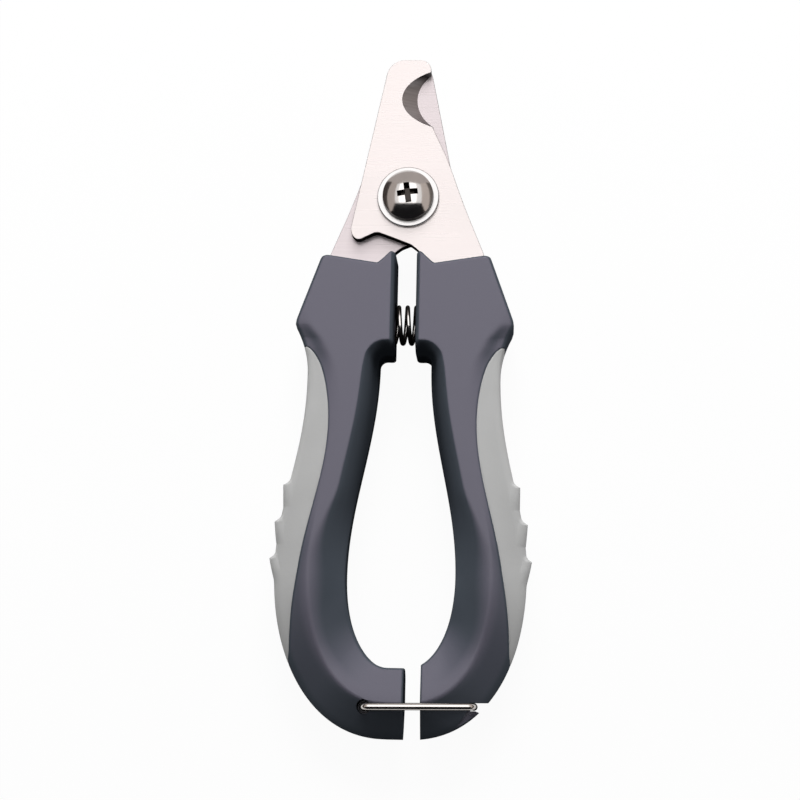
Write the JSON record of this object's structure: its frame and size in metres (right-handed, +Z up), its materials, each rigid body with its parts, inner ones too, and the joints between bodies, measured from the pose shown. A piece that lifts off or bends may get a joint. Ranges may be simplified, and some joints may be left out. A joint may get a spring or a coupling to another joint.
{
  "type": "plier type pet nail clipper",
  "caption": "Hand-held pet nail clipper with scissor-crossed notched blades, soft-gripped looped handles, a return spring between the necks and a wire lock hook.",
  "frame": {"origin": "centre of the bounding box's underside, with the clipper lying on its back, shut and locked", "axes": "+X towards the right handle, +Y from the handles to the blade tips, +Z up out of the front face with the screw head"},
  "size_m": [0.0512, 0.1378, 0.014],
  "materials": {
    "blade_steel": "fine brushed",
    "hardware": "polished",
    "spring_wire": "polished wire",
    "handle_plastic": "matte",
    "grip_rubber": "matte"
  },
  "bodies": {
    "left_half": {"left_handle": "handle_plastic", "left_grip": "grip_rubber", "rear_blade": "blade_steel", "pivot_screw": "hardware", "front_washer": "hardware", "rear_washer": "hardware", "pivot_nut": "hardware", "return_spring": "spring_wire"},
    "right_half": {"right_handle": "handle_plastic", "right_grip": "grip_rubber", "front_blade": "blade_steel"},
    "hook": {"lock_hook": "hardware"}
  },
  "joints": [
    {"name": "handle_pivot", "type": "hinge", "parent": "left_half", "child": "right_half", "pos_m": [0, 0.03935, 0.007], "axis": [0, 0, 1], "range_deg": [0, 24], "deforming": ["return_spring"]},
    {"name": "hook_swing", "type": "hinge", "parent": "left_half", "child": "hook", "pos_m": [-0.0064, -0.06275, 0.007], "axis": [0, 0, 1], "range_deg": [-180, 0]}
  ],
  "couplings": [
    {"joint": "hook_swing", "follows": "handle_pivot", "ratio": -7.4}
  ]
}
